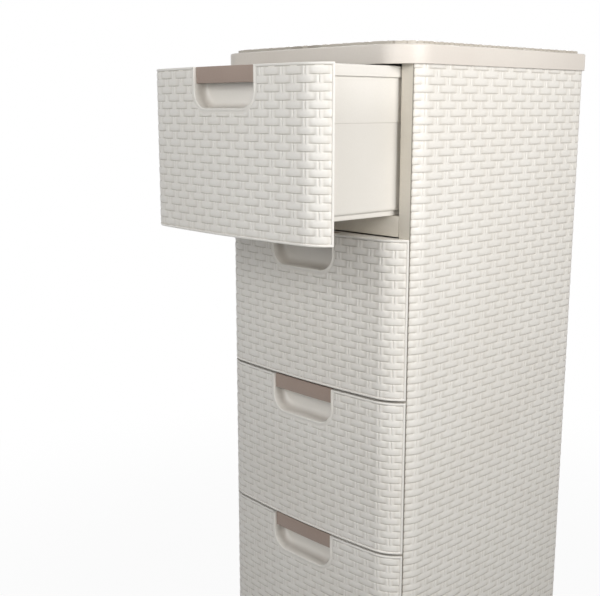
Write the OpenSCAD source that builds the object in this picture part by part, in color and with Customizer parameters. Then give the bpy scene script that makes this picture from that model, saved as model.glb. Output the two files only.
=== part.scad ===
// Free-standing tower of four drawers with a woven-look skin.
// +Z is up, -Y is the front, the origin is on the floor under the middle of the carcass.
// Drawer 1 is the top one and stands part open; the other drawers are closed.

/* [Carcass] */
// Width across the woven side shells
body_w = 352; // [320:2:420]
// Depth from the crown of the bowed front to the back
body_d = 386; // [340:2:440]
// Radius of the bowed front, seen from above
bow_r = 1465; // [900:5:3000]
// Radius of the two front corners
corner_r = 46; // [34:1:60]
// Radius of the two rear corners
rear_r = 8; // [6:1:14]
// Wall of the side shells
wall = 2.4; // [2:0.2:4]
// How far the side shells return across the back
rear_return = 16; // [14:1:24]
// Thickness of the back panel
back_t = 2.2; // [1.6:0.2:4]

/* [Bays] */
// Height of one drawer bay
bay_h = 209; // [180:1:240]
// Height of the front rail and of the runners at the foot of each bay
rail_h = 26; // [20:1:34]
// Depth of the front rail from front to back
rail_d = 14; // [12:1:20]
// Wall of rails and runners
rail_t = 2.4; // [2:0.2:4]
// Width of the carcass's front strip beside the drawers
strip_w = 20; // [16:1:24]
// Distance of the front seam from the side's outer face
seam_in = 7; // [4:0.5:14]
// Height of the guide rib
rib_h = 8; // [5:1:12]

/* [Cap and base] */
// Height of the cap's edge band
cap_h = 23; // [18:1:34]
// Height of the base's edge band
base_h = 20; // [14:1:34]
// Overhang of cap and base beyond the woven skin
cap_over = 3; // [2.6:0.2:6]
// Clearance between those bands and the skin
cap_fit = 0.4; // [0.3:0.1:0.8]
// Thickness of the cap's plate and of the base's plate
plate_t = 2.6; // [2:0.2:5]
// Distance of the woven top insert from the skin line
insert_in = 8; // [4:1:20]
// Height of the woven top insert
insert_h = 4.5; // [2:0.5:8]

/* [Drawer front] */
// Thickness of the front's skin
front_t = 3; // [2.4:0.2:5]
// Gap between one drawer front and the next
front_gap = 3; // [2:0.5:5]
// Gap between a closed drawer front and the carcass
seam_gap = 1; // [0.6:0.2:2]
// Width of the finger notch
notch_w = 114; // [90:2:140]
// Height of the finger notch
notch_h = 50; // [44:1:64]
// Radius of the notch's lower corners
notch_r = 22; // [14:1:26]
// Depth of the finger pocket from the crown of the front
pocket_d = 21; // [18:1:22]
// Wall of the finger pocket
pocket_t = 2.4; // [1.6:0.2:3]
// Depth of the pocket's floor that stays flat behind the front's skin
pocket_flat = 1; // [0.5:0.5:2]

/* [Grip] */
// Height of the grip strip in the notch
grip_h = 20; // [16:1:24]
// How far the grip strip lies behind the front's surface
grip_in = 3.5; // [2:0.5:5]
// Thickness of the grip strip
grip_t = 2.2; // [1.8:0.2:3]
// Depth of the lip turned back along the strip's lower edge
grip_lip = 4.5; // [3:0.5:6]
// Clearance at the grip strip's ends
grip_fit = 0.3; // [0.2:0.1:0.6]

/* [Drawer tub] */
// Wall and floor of the tub
tub_t = 2.2; // [1.8:0.2:3.6]
// Height of the lip round the tub's rim
lip_h = 13.5; // [10:0.5:20]
// Overhang of that lip
lip_over = 3; // [2.4:0.2:4]
// Thickness of that lip
lip_t = 1.4; // [1:0.2:2]
// Distance of the side's stacking step below the rim
step_down = 67; // [40:1:90]
// Depth of the stacking step
step_in = 1.2; // [0.6:0.2:2]
// Radius of the tub's rear corners
tub_r = 16; // [10:1:24]
// Clearance between the lip and the carcass opening, each side
side_gap = 2.5; // [1.5:0.5:4]
// Clearance above the rim
rim_gap = 2; // [1.5:0.5:4]
// Clearance behind the tub
back_gap = 6; // [4:1:12]

/* [Slides] */
// How far drawer 1 stands open
open_top = 130; // [0:5:180]
// Full travel of a drawer
travel = 260; // [200:5:280]
// Width of the skids under the tub
skid_w = 12; // [8:1:16]
// Height of the skids
skid_h = 6; // [4:0.5:8]
// Distance of the skids from the tub's side
skid_in = 4; // [3:1:8]
// Clearance between skid and runner
run_gap = 0.3; // [0.2:0.1:0.5]
// Clearance between the guide rib and the tub's side
rib_gap = 1; // [0.6:0.2:1.4]
// Length of a stop lug along the slide
lug_l = 8; // [6:1:12]
// How far a stop lug reaches past the carcass opening
lug_catch = 4; // [3:1:6]
// Space left between a stop lug and its stop at full travel
lug_gap = 0.5; // [0.4:0.1:1]

/* [Hidden] */
$fn = 96;
bow_fn = 1440;
bays = 4;

skin_color = "#e9e5dc";
smooth_color = "#ece9e1";
frame_color = "#d6d0c6";
taupe_color = "#cfc5bb";
grip_color = "#8c7c73";

// Plan of the skin: a bowed front, round corners and straight sides.
front_y = -body_d / 2;
back_y = body_d / 2;
corner_x = body_w / 2 - corner_r;
bow_y = front_y + bow_r;
corner_y = bow_y - sqrt(pow(bow_r - corner_r, 2) - pow(corner_x, 2));
// The seam between drawer fronts and side shells lies on the corner's curve.
seam_x = body_w / 2 - seam_in;
seam_y = corner_y - sqrt(pow(corner_r, 2) - pow(corner_r - seam_in, 2));
opening_x = seam_x - strip_w;

bays_z = base_h;
cap_z = bays_z + bays * bay_h;
cap_plate_z = cap_z + cap_h - plate_t;
top_z = cap_z + cap_h;

panel_y = back_y - wall - back_t;
panel_x = body_w / 2 - rear_r;

front_h = bay_h - front_gap;
front_back_y = seam_y - seam_gap;

rim_x = opening_x - side_gap;
tub_x = rim_x - lip_over;
low_x = tub_x - step_in;
tub_back_y = panel_y - back_gap;
tub_z = rail_h + run_gap + skid_h;
rim_z = bay_h - rim_gap;
skid_x = low_x - skid_in;
runner_x = skid_x - skid_w - skid_in;
// The runners lie along the flat stretch of the side shells.
runner_y = corner_y;
run_l = back_y - rear_r - runner_y;
lug_y = seam_y + rail_d + lug_gap + travel;

BAYS = [for (i = [1:bays]) i];

function bay_z(i) = bays_z + (bays - i) * bay_h;
function open_y(i) = i == 1 ? -open_top : 0;

// The skin's plan, drawn d inside its outer face.
module plan(d = 0) {
    joint_x = corner_x * (bow_r - d) / (bow_r - corner_r);
    half = body_w / 2 - d;
    rear = max(rear_r - d, 1);
    intersection() {
        translate([0, bow_y]) circle(r = bow_r - d, $fn = bow_fn);
        translate([-joint_x, front_y - corner_r]) square([2 * joint_x, corner_y - front_y + corner_r]);
    }
    for (s = [-1, 1]) translate([s * corner_x, corner_y]) circle(r = corner_r - d);
    translate([-half, corner_y]) square([2 * half, back_y - d - rear - corner_y]);
    translate([-half + rear, corner_y]) square([2 * (half - rear), back_y - d - corner_y]);
    for (s = [-1, 1]) translate([s * (half - rear), back_y - d - rear]) circle(r = rear);
}

// A rectangle from y0 to y1, square at the front and rounded by r at the back.
module tub_plan(half, y0, y1, r) {
    translate([-half, y0]) square([2 * half, y1 - r - y0]);
    translate([-half + r, y0]) square([2 * (half - r), y1 - y0]);
    for (s = [-1, 1]) translate([s * (half - r), y1 - r]) circle(r = r);
}

module band(h) {
    linear_extrude(h) difference() {
        plan(-cap_over);
        plan(-cap_fit);
    }
}

module base() {
    color(taupe_color) {
        linear_extrude(plate_t) plan(-cap_over);
        band(base_h);
    }
}

module top_cap() {
    color(taupe_color) {
        translate([0, 0, cap_z]) band(cap_h - plate_t);
        translate([0, 0, cap_plate_z]) linear_extrude(plate_t) plan(-cap_over);
    }
}

module top_insert() {
    color(skin_color) translate([0, 0, top_z]) linear_extrude(insert_h) plan(insert_in);
}

// Plan of the right side shell: skin, front strip with its return, rear return.
module side_plan() {
    intersection() {
        difference() {
            plan(0);
            plan(wall);
        }
        union() {
            translate([opening_x, seam_y]) square([body_w, back_y - rear_return - seam_y]);
            translate([body_w / 2 - rear_return, seam_y]) square([body_w, body_d]);
        }
    }
    translate([opening_x, seam_y]) square([strip_w, wall]);
    translate([opening_x, seam_y]) square([wall, rail_d]);
}

module side() {
    color(skin_color) translate([0, 0, plate_t]) linear_extrude(cap_plate_z - plate_t) side_plan();
}

module right_side() side();

module left_side() mirror([1, 0, 0]) side();

module back_panel() {
    color(smooth_color) translate([-panel_x, panel_y, plate_t])
        cube([2 * panel_x, back_t, cap_plate_z - plate_t]);
}

// Channel that spans the opening at the foot of a bay.
module front_rail(i) {
    color(frame_color) translate([-opening_x, seam_y, bay_z(i)]) {
        cube([2 * opening_x, rail_t, rail_h]);
        translate([0, 0, rail_h - rail_t]) cube([2 * opening_x, rail_d, rail_t]);
        for (x = [0, 2 * opening_x - rail_t]) translate([x, 0, 0]) cube([rail_t, rail_d, rail_h]);
    }
}

// Ledge on the right side shell that carries a drawer, with its guide rib.
module runner(i) {
    shell_x = body_w / 2 - wall;
    color(frame_color) translate([0, runner_y, bay_z(i)]) {
        translate([runner_x, 0, rail_h - rail_t]) cube([shell_x - runner_x, run_l, rail_t]);
        translate([shell_x - rail_t, 0, 0]) cube([rail_t, run_l, rail_h]);
        translate([runner_x, 0, rail_h / 2]) cube([rail_t, run_l, rail_h / 2]);
        translate([low_x + rib_gap, 0, rail_h - rail_t]) cube([rail_t, run_l, rail_t + rib_h]);
    }
}

module runner_right(i) runner(i);

module runner_left(i) mirror([1, 0, 0]) runner(i);

// Open tub with a turned-down lip, a stacking step, skids and stop lugs.
module drawer_tub(i) {
    color(smooth_color) translate([0, open_y(i), bay_z(i)]) {
        difference() {
            union() {
                translate([0, 0, tub_z]) linear_extrude(rim_z - step_down - tub_z)
                    tub_plan(low_x, front_back_y, tub_back_y - lip_over - step_in, tub_r);
                translate([0, 0, rim_z - step_down]) linear_extrude(step_down)
                    tub_plan(tub_x, front_back_y, tub_back_y - lip_over, tub_r + step_in);
                translate([0, 0, rim_z - tub_t]) linear_extrude(tub_t) rim_plan(0);
                translate([0, 0, rim_z - lip_h]) linear_extrude(lip_h) difference() {
                    rim_plan(0);
                    rim_plan(lip_t);
                }
            }
            translate([0, 0, tub_z + tub_t]) linear_extrude(bay_h)
                tub_plan(low_x - tub_t, front_back_y + tub_t, tub_back_y - lip_over - step_in - tub_t,
                         tub_r - tub_t);
        }
        for (s = [-1, 1]) translate([s * (skid_x - skid_w / 2), 0, 0]) skid();
        for (s = [0, 1]) mirror([s, 0, 0]) stop_lug();
    }
}

module rim_plan(d) tub_plan(rim_x - d, front_back_y, tub_back_y - d, tub_r + lip_over - d);

module skid() {
    translate([-skid_w / 2, front_back_y, tub_z - skid_h])
        cube([skid_w, tub_back_y - lip_over - tub_r - front_back_y, skid_h + tub_t / 2]);
}

module stop_lug() {
    translate([rim_x - lip_t, lug_y, rim_z - lip_h])
        cube([opening_x + lug_catch - rim_x + lip_t, lug_l, lip_h]);
}

// Outline of the finger notch, with the origin at the front's top edge.
module notch_outline(w, h, r) {
    translate([-w / 2, r - h]) square([w, h]);
    translate([r - w / 2, -h]) square([w - 2 * r, h]);
    for (s = [-1, 1]) translate([s * (w / 2 - r), r - h]) circle(r = r);
}

// Hollow of the finger pocket: the notch seen from the front, with a round foot at the back.
module pocket_hollow() {
    intersection() {
        translate([0, front_y + pocket_d, front_h]) rotate([90, 0, 0])
            linear_extrude(2 * pocket_d) notch_outline(notch_w, notch_h, notch_r);
        translate([-notch_w, front_y + pocket_d, front_h]) rotate([90, 0, 90])
            linear_extrude(2 * notch_w) pocket_section();
    }
}

module pocket_section() {
    foot_r = pocket_d - front_t - pocket_flat;
    translate([-2 * pocket_d, -notch_h]) square([2 * pocket_d - foot_r, 2 * notch_h]);
    translate([-2 * pocket_d, foot_r - notch_h]) square([2 * pocket_d, 2 * notch_h]);
    translate([-foot_r, foot_r - notch_h]) circle(r = foot_r);
}

module front_plan(d) {
    intersection() {
        plan(d);
        translate([-body_w, front_y - corner_r]) square([2 * body_w, front_back_y - front_y + corner_r]);
    }
}

module front_block(x, z0) {
    intersection() {
        linear_extrude(front_h) front_plan(0);
        translate([-x, front_y, z0])
            cube([2 * x, pocket_d + pocket_t, front_h - z0]);
    }
}

// Hollow front: outer skin, edge walls and finger pocket, open at the back behind the tub's wall.
module drawer_front(i) {
    open_x = low_x - tub_r;
    open_z = tub_z + skid_h;
    color(skin_color) translate([0, open_y(i), bay_z(i) + front_gap / 2]) difference() {
        union() {
            difference() {
                linear_extrude(front_h) front_plan(0);
                translate([0, 0, front_t]) linear_extrude(front_h - 2 * front_t) intersection() {
                    plan(front_t);
                    translate([-body_w, front_y])
                        square([2 * body_w, front_back_y - front_t - front_y]);
                }
                translate([-open_x, front_back_y - 2 * front_t, open_z])
                    cube([2 * open_x, 3 * front_t, front_h - 2 * open_z]);
            }
            front_block(notch_w / 2 + pocket_t, front_h - notch_h - pocket_t);
        }
        pocket_hollow();
    }
}

// Grip strip: follows the bow, closes the pocket's top and turns back at its lower edge.
module drawer_grip(i) {
    half = notch_w / 2 - grip_fit;
    color(grip_color) translate([0, open_y(i), bay_z(i) + front_gap / 2 + front_h - grip_h]) {
        grip_slice(half, grip_h, grip_t);
        translate([0, 0, grip_h - grip_t]) grip_slice(half, grip_t, pocket_d);
        grip_slice(half, grip_t, grip_lip);
    }
}

module grip_slice(half, h, depth) {
    linear_extrude(h) difference() {
        intersection() {
            plan(grip_in);
            translate([-half, front_y]) square([2 * half, min(depth + grip_in, pocket_d) + corner_r]);
        }
        if (depth < pocket_d - grip_in) plan(grip_in + depth);
        else translate([-body_w, front_y + pocket_d]) square([2 * body_w, body_d]);
    }
}

base();
left_side();
right_side();
back_panel();
top_cap();
top_insert();
for (i = BAYS) {
    front_rail(i);
    runner_left(i);
    runner_right(i);
    drawer_tub(i);
    drawer_front(i);
    drawer_grip(i);
}
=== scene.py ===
"""Looks of a free-standing tower of four drawers with a woven-look plastic skin.

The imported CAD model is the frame: it carries every size and every motion. This script lays
a woven relief on the side shells, the drawer fronts and the top, rounds the smooth
mouldings as a tool would leave them, and dresses every piece in a procedural plastic.

Lengths are metres. +Z is up, -Y is the front, and the origin is on the floor under the
middle of the carcass. A skin's own coordinates are s, the distance along its plan from the
crown of the front, and depth, the distance below its outer face.
"""

import logging
import math
from collections.abc import Callable, Mapping, Sequence
from dataclasses import dataclass, field
from enum import Enum

import bmesh
import bpy
import numpy as np
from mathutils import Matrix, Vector


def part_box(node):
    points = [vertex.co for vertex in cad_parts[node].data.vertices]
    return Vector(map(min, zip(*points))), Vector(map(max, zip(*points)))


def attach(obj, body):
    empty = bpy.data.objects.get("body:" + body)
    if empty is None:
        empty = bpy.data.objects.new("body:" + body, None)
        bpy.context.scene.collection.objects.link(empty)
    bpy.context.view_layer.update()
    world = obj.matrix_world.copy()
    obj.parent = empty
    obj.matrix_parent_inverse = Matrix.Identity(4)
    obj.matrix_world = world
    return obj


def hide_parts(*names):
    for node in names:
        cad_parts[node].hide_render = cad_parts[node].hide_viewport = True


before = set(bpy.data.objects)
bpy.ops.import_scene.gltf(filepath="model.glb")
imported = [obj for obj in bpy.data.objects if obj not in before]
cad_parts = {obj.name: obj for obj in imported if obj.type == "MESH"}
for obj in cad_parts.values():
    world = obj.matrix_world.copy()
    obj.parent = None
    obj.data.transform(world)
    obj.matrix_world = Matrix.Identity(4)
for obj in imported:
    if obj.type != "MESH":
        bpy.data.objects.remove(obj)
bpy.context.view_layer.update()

log = logging.getLogger("drawer_tower")

Number = float | int
Colour = tuple[float, float, float, float]
Socket = bpy.types.NodeSocket

DRAWERS = 4
MM = 0.001
ON_SKIN = 0.05 * MM  # faces nearer the skin than this are part of it
ON_PLANE = 0.02 * MM  # points nearer a plane or a panel's face than this lie on it
SAME_PLACE = 0.01 * MM  # points nearer than this stand in one place
NOTHING = 1e-6  # a length or a share under this counts as none
CELL_SLACK = 1e-4  # keeps a whole number of cells from falling to the one below
FLAT_TURN = math.radians(0.05)  # faces that turn less than this are one flat face
SMOOTH_TURN = math.radians(35)  # edges of a moulding that turn more stay sharp
ROUNDED_TURN = math.radians(40)  # edges of a moulding that turn more are rounded
FIELD_TURN = math.radians(60)  # edges of the top's field that turn more stay sharp
WOVEN_TURN = math.radians(70)  # edges of a bent woven skin that turn more stay sharp


# ---------------------------------------------------------------- node graphs


@dataclass(frozen=True)
class Term:
    """A node socket that takes part in Python expressions."""

    graph: "Graph"
    socket: Socket

    def __add__(self, other: "Term | Number") -> "Term":
        """Sum."""
        return self.graph.math("ADD", self, other)

    def __radd__(self, other: Number) -> "Term":
        """Sum, from the left."""
        return self.graph.math("ADD", other, self)

    def __sub__(self, other: "Term | Number") -> "Term":
        """Difference."""
        return self.graph.math("SUBTRACT", self, other)

    def __rsub__(self, other: Number) -> "Term":
        """Difference, from the left."""
        return self.graph.math("SUBTRACT", other, self)

    def __mul__(self, other: "Term | Number") -> "Term":
        """Product."""
        return self.graph.math("MULTIPLY", self, other)

    def __rmul__(self, other: Number) -> "Term":
        """Product, from the left."""
        return self.graph.math("MULTIPLY", other, self)

    def __truediv__(self, other: "Term | Number") -> "Term":
        """Quotient."""
        return self.graph.math("DIVIDE", self, other)

    def __pow__(self, other: Number) -> "Term":
        """Power."""
        return self.graph.math("POWER", self, other)

    def __lt__(self, other: "Term | Number") -> "Term":
        """1 where this is less, else 0."""
        return self.graph.math("LESS_THAN", self, other)

    def __gt__(self, other: "Term | Number") -> "Term":
        """1 where this is more, else 0."""
        return self.graph.math("GREATER_THAN", self, other)

    def floor(self) -> "Term":
        """Whole part."""
        return self.graph.math("FLOOR", self)

    def rounded(self) -> "Term":
        """Nearest whole number."""
        return self.graph.math("ROUND", self)

    def abs(self) -> "Term":
        """Size without its sign."""
        return self.graph.math("ABSOLUTE", self)

    def sin(self) -> "Term":
        """Sine."""
        return self.graph.math("SINE", self)

    def cos(self) -> "Term":
        """Cosine."""
        return self.graph.math("COSINE", self)

    def root(self) -> "Term":
        """Square root."""
        return self.graph.math("SQRT", self)

    def least(self, other: "Term | Number") -> "Term":
        """The smaller of the two."""
        return self.graph.math("MINIMUM", self, other)

    def most(self, other: "Term | Number") -> "Term":
        """The larger of the two."""
        return self.graph.math("MAXIMUM", self, other)

    def within(self, low: "Term | Number", high: "Term | Number") -> "Term":
        """Held between low and high."""
        return self.most(low).least(high)

    def ramp(self, low: Number, high: "Term | Number") -> "Term":
        """Smooth step from 0 at low to 1 at high."""
        inputs = {"Value": self, "From Min": low, "From Max": high}
        return self.graph.term("ShaderNodeMapRange", {"interpolation_type": "SMOOTHSTEP"}, inputs)


class Graph:
    """Adds nodes to one node tree."""

    def __init__(self, tree: bpy.types.NodeTree) -> None:
        """Keeps the tree that the nodes go into."""
        self.tree = tree

    def node(
        self,
        kind: str,
        settings: Mapping[str, object] | None = None,
        inputs: Mapping[str | int, object] | None = None,
    ) -> bpy.types.Node:
        """Adds a node.

        Args:
            kind: the node's type.
            settings: its properties, which are set first.
            inputs: a value or a Term for each socket, by name or place.

        Returns:
            The new node.
        """
        node = self.tree.nodes.new(kind)
        for name, value in (settings or {}).items():
            setattr(node, name, value)
        for key, value in (inputs or {}).items():
            self.feed(node.inputs[key], value)
        return node

    def feed(self, socket: Socket, value: object) -> None:
        """Gives a socket a value or a link.

        Args:
            socket: the input.
            value: a Term to link, or a value to set.
        """
        if isinstance(value, Term):
            self.tree.links.new(value.socket, socket)
        else:
            socket.default_value = value

    def term(
        self,
        kind: str,
        settings: Mapping[str, object] | None = None,
        inputs: Mapping[str | int, object] | None = None,
        output: str | int = 0,
    ) -> Term:
        """Adds a node and returns one of its outputs."""
        return Term(self, self.node(kind, settings, inputs).outputs[output])

    def math(self, operation: str, *values: Term | Number) -> Term:
        """Adds a Math node."""
        return self.term("ShaderNodeMath", {"operation": operation}, dict(enumerate(values)))


def linear(red: int, green: int, blue: int) -> Colour:
    """The opaque linear colour for screen values from 0 to 255, by the sRGB curve."""
    shares = [value / 255 for value in (red, green, blue)]
    return *(s / 12.92 if s <= 0.04045 else ((s + 0.055) / 1.055) ** 2.4 for s in shares), 1.0


# ------------------------------------------------------------------- finishes


class Slot(Enum):
    """The material slots, which name the finishes."""

    WOVEN_CREAM = "woven_cream"
    WOVEN_TOP = "woven_top"
    SMOOTH_CREAM = "smooth_cream"
    SMOOTH_FRAME = "smooth_frame"
    TAUPE_CAP = "taupe_cap"
    TAUPE_GRIP = "taupe_grip"


class Mark(Enum):
    """Attributes that a skin carries for its finish."""

    PANEL = "panel"  # s, depth and height
    RELIEF = "relief"  # relief depth as a share of the rim groove's, with painted shade: 1 at the foot of a hollow, more at a seam
    GAP = "gap"  # painted shadow: 1 in a groove between two strands, and a fainter painted line between two ribs


Finishes = Mapping[Slot, bpy.types.Material]


@dataclass(frozen=True)
class MouldedPlastic:
    """Moulded polypropylene: a faintly mottled colour and the fine grain of a blasted tool.

    Where it has a colour of painted shade, it darkens by the skin's marks: painted shade
    towards that colour in a hollow, and painted shadow towards the seam colour in a groove
    and at a seam.
    """

    slot: Slot
    colour: Colour
    tint: Colour
    roughness: float
    roughness_spread: float = 0.07
    grain_height: float = 0.015 * MM
    grain_size: float = 0.55 * MM
    coat: float = 0.0
    coat_roughness: float = 0.22
    ior: float = 1.49
    cloud_scale: float = 7.0
    cloud_share: float = 0.75
    speck_scale: float = 420.0
    mottle_from: tuple[float, float] = (0.3, 0.7)  # where the tint starts, and where it is full
    # painted shade: the colour that hollows of the relief darken towards
    recess_shade: Colour | None = None
    recess_shade_share: float = 0.3
    recess_from: tuple[float, float] = (0.1, 0.9)
    recess_dulling: float = 0.12
    dulling_from: tuple[float, float] = (0.4, 1.0)
    # painted shadow: the colour that grooves between strands and seams between parts darken
    # towards, and how far
    seam: Colour = linear(118, 110, 98)
    groove_shadow_share: float = 0.45
    seam_shade_share: float = 0.85
    seam_shade_from: tuple[float, float] = (1.05, 1.4)
    woven_grain: float = 0.6
    strand_grain: float = 1.2
    strand_scale: tuple[float, float, float] = (60.0, 1.0, 1500.0)

    def build(self) -> bpy.types.Material:
        """Makes the material.

        Returns:
            The material, named after its slot.
        """
        material = bpy.data.materials.new(self.slot.value)
        material.use_nodes = True
        graph = Graph(material.node_tree)
        place = graph.term("ShaderNodeTexCoord", output="Object")
        cloud = self.noise(graph, place, scale=self.cloud_scale, detail=3.0)
        speck = self.noise(graph, place, scale=self.speck_scale, detail=2.0)
        mottle = cloud * self.cloud_share + speck * (1.0 - self.cloud_share)
        colour = self.mix(graph, mottle.ramp(*self.mottle_from), self.colour, self.tint)
        rough = self.roughness + self.roughness_spread * (cloud + speck - 1.0)
        height = self.noise(graph, place, scale=1 / self.grain_size, detail=2.0)
        if self.recess_shade:
            relief, gap = (self.mark(graph, mark, "Fac") for mark in (Mark.RELIEF, Mark.GAP))
            # painted shade in hollows, and painted shadow in grooves and at seams
            for factor, shade in (
                (relief.ramp(*self.recess_from) * self.recess_shade_share, self.recess_shade),
                (gap.ramp(*self.recess_from) * self.groove_shadow_share, self.seam),
                (relief.ramp(*self.seam_shade_from) * self.seam_shade_share, self.seam),
            ):
                colour = self.mix(graph, factor, colour, shade)
            rough = rough + self.recess_dulling * relief.ramp(*self.dulling_from)
            height = height * self.woven_grain + self.strand_lines(graph) * self.strand_grain
        bump = {"Strength": 1.0, "Distance": self.grain_height, "Height": height}
        sockets = {
            "Base Color": colour,
            "Roughness": rough,
            "Normal": graph.term("ShaderNodeBump", None, bump),
            "IOR": self.ior,
            "Coat Weight": self.coat,
            "Coat Roughness": self.coat_roughness,
        }
        shader = graph.tree.nodes["Principled BSDF"]
        for name, value in sockets.items():
            graph.feed(shader.inputs[name], value)
        return material

    @staticmethod
    def noise(
        graph: Graph, place: Term, scale: float, detail: float, roughness: float = 0.55
    ) -> Term:
        """Noise from 0 to 1."""
        inputs = {"Vector": place, "Scale": scale, "Detail": detail, "Roughness": roughness}
        return graph.term("ShaderNodeTexNoise", None, inputs)

    @staticmethod
    def mix(graph: Graph, factor: Term, low: Term | Colour, high: Colour) -> Term:
        """A colour between low and high."""
        inputs = {"Factor": factor, 6: low, 7: high}
        return graph.term("ShaderNodeMix", {"data_type": "RGBA"}, inputs, output=2)

    @staticmethod
    def mark(graph: Graph, mark: Mark, output: str) -> Term:
        """What the skin carries under a mark."""
        return graph.term("ShaderNodeAttribute", {"attribute_name": mark.value}, output=output)

    def strand_lines(self, graph: Graph) -> Term:
        """Draws fine lines that run along the strands, in the panel's own coordinates.

        Args:
            graph: the graph of the finish's material.

        Returns:
            The lines, from 0 to 1.
        """
        mapping = {"Vector": self.mark(graph, Mark.PANEL, "Vector"), "Scale": self.strand_scale}
        place = graph.term("ShaderNodeMapping", None, mapping)
        return self.noise(graph, place, scale=1.0, detail=1.0)


# the darker colours given for hollows below are painted shade that the skins and the pocket darken
# towards
FINISHES = (
    MouldedPlastic(
        Slot.WOVEN_CREAM,
        linear(242, 239, 233),
        linear(237, 233, 226),
        roughness=0.42,
        recess_shade=linear(206, 198, 184),
    ),
    MouldedPlastic(
        Slot.WOVEN_TOP,
        linear(190, 184, 174),
        linear(183, 176, 165),
        roughness=0.46,
        recess_shade=linear(160, 151, 138),
    ),
    MouldedPlastic(
        Slot.SMOOTH_CREAM,
        linear(239, 235, 228),
        linear(234, 230, 222),
        roughness=0.36,
        grain_height=0.006 * MM,
        recess_shade=linear(172, 160, 147),
    ),
    # a darker copy of the smooth cream: painted shade for the front strips, the rails and the
    # runners
    MouldedPlastic(
        Slot.SMOOTH_FRAME,
        linear(224, 218, 206),
        linear(217, 210, 197),
        roughness=0.4,
        grain_height=0.008 * MM,
    ),
    MouldedPlastic(
        Slot.TAUPE_CAP,
        linear(230, 223, 214),
        linear(224, 216, 207),
        roughness=0.44,
        grain_height=0.004 * MM,
        coat=0.08,
    ),
    MouldedPlastic(
        Slot.TAUPE_GRIP,
        linear(168, 149, 137),
        linear(161, 141, 129),
        roughness=0.38,
        grain_height=0.008 * MM,
    ),
)


# ---------------------------------------------------------------------- plan


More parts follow.
